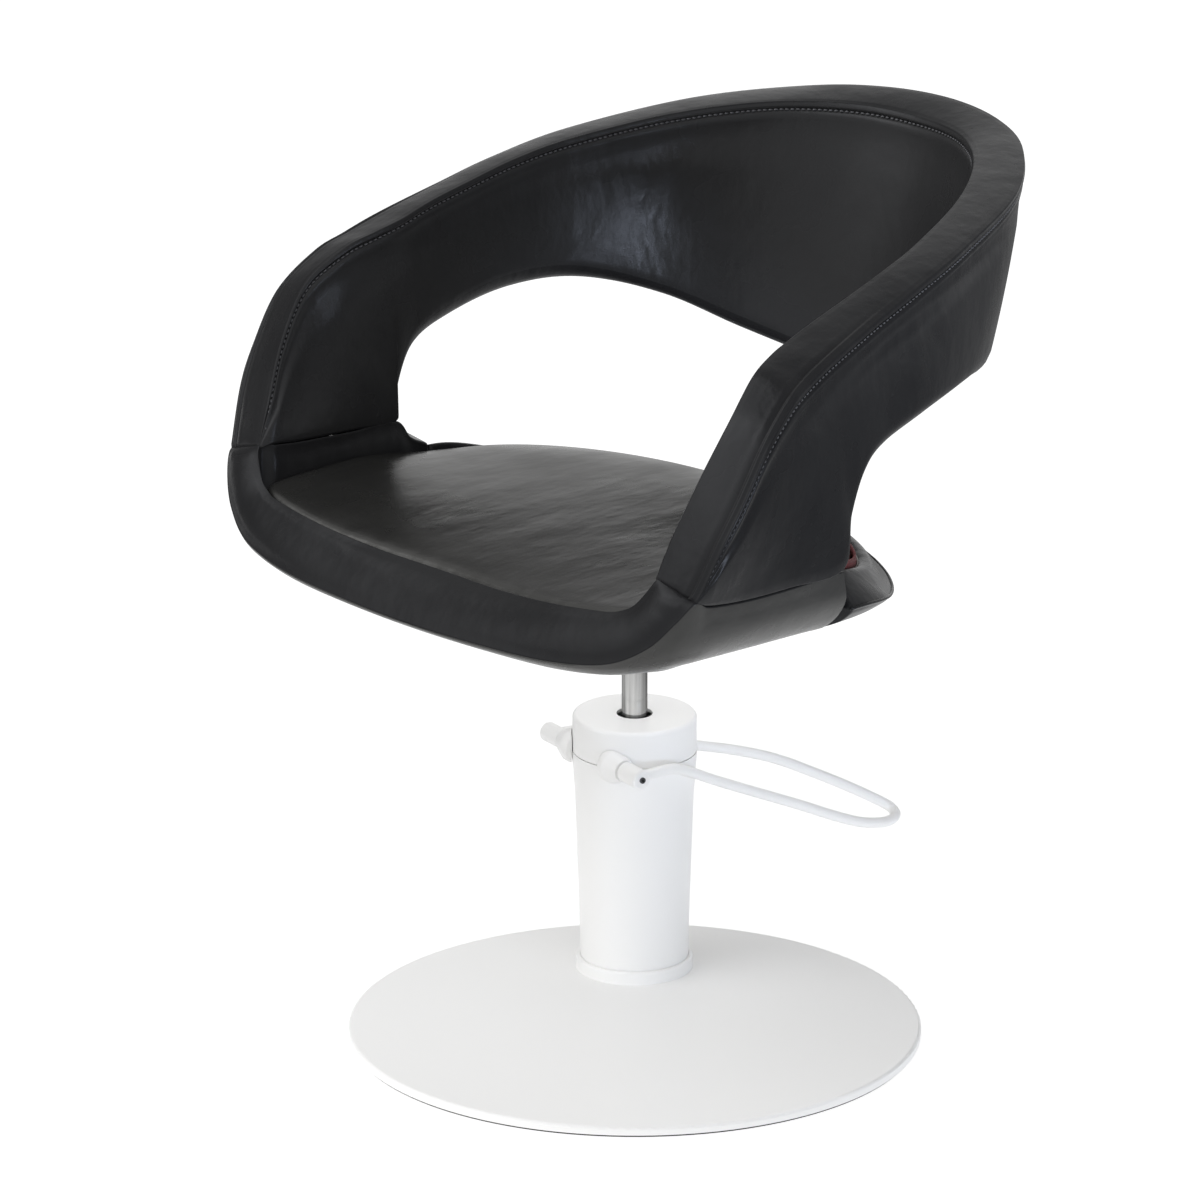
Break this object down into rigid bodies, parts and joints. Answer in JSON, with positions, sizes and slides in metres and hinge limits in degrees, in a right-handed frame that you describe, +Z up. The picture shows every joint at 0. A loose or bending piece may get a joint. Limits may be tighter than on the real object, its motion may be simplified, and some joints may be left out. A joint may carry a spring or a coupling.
{
  "type": "hairdressing chair",
  "caption": "Upholstered tub seat with wrap-around arms and an open back gap, on a hydraulic lift column with a foot lever and a round floor plate.",
  "frame": {"origin": "on the floor, on the axis of the lift column", "axes": "+Z up along the column; the sitter faces -Y; +X is on the sitter's left"},
  "size_m": [0.7275, 0.8147, 0.8003],
  "materials": {
    "painted_white": "satin powder coat",
    "black_leather": "smooth faux leather with a soft sheen",
    "bright_steel": "ground and polished",
    "dark_steel": "black, semi-matt",
    "black_rubber": "matt",
    "bush_bronze": "machined",
    "pump_casting": "cast, machined faces",
    "plywood": "raw",
    "red_trim": "woven edge trim",
    "black_lining": "non-woven"
  },
  "bodies": {
    "base": {"base_plate": "painted_white", "floor_pad": "black_rubber", "column_cover": "painted_white", "foot_ring": "painted_white", "top_cap": "painted_white", "lever_sockets": "painted_white", "tank_foot": "pump_casting", "foot_screws": "dark_steel", "oil_tank": "bright_steel", "pressure_tube": "bright_steel", "pump_head": "pump_casting", "rod_guide": "bush_bronze", "wiper_seal": "black_rubber", "shaft_bushes": "bush_bronze", "pump_barrel": "bright_steel"},
    "pedal": {"pedal_shaft": "bright_steel", "pedal_hubs": "painted_white", "pedal_bail": "painted_white", "hub_screws": "dark_steel", "pump_crank": "pump_casting"},
    "plunger": {"pump_plunger": "bright_steel"},
    "lift": {"piston_head": "bright_steel", "piston_seal": "black_rubber"},
    "seat": {"piston_rod": "bright_steel", "seat_socket": "dark_steel", "mounting_plate": "dark_steel", "plate_bolts": "bright_steel", "seat_board": "plywood", "seat_lining": "black_lining", "seat_shell": "black_leather", "rear_panel": "black_leather", "rear_strip": "red_trim", "seat_cushion": "black_leather", "tub_band": "black_leather"}
  },
  "joints": [
    {"name": "seat_lift", "type": "slide", "parent": "base", "child": "lift", "axis": [0, 0, 1], "range_m": [0, 0.13]},
    {"name": "seat_swivel", "type": "hinge", "parent": "lift", "child": "seat", "pos_m": [0, 0, 0.4], "axis": [0, 0, 1], "continuous": true},
    {"name": "foot_lever", "type": "hinge", "parent": "base", "child": "pedal", "pos_m": [-0.00878, -0.04516, 0.235], "axis": [0.9816, -0.1908, 0], "range_deg": [-14, 8], "stiffness_Nm_per_rad": 30},
    {"name": "plunger_slide", "type": "slide", "parent": "base", "child": "plunger", "axis": [0, 0, 1], "range_m": [-0.0055, 0.0035]}
  ],
  "couplings": [
    {"joint": "plunger_slide", "follows": "foot_lever", "m_per_rad": 0.019}
  ]
}
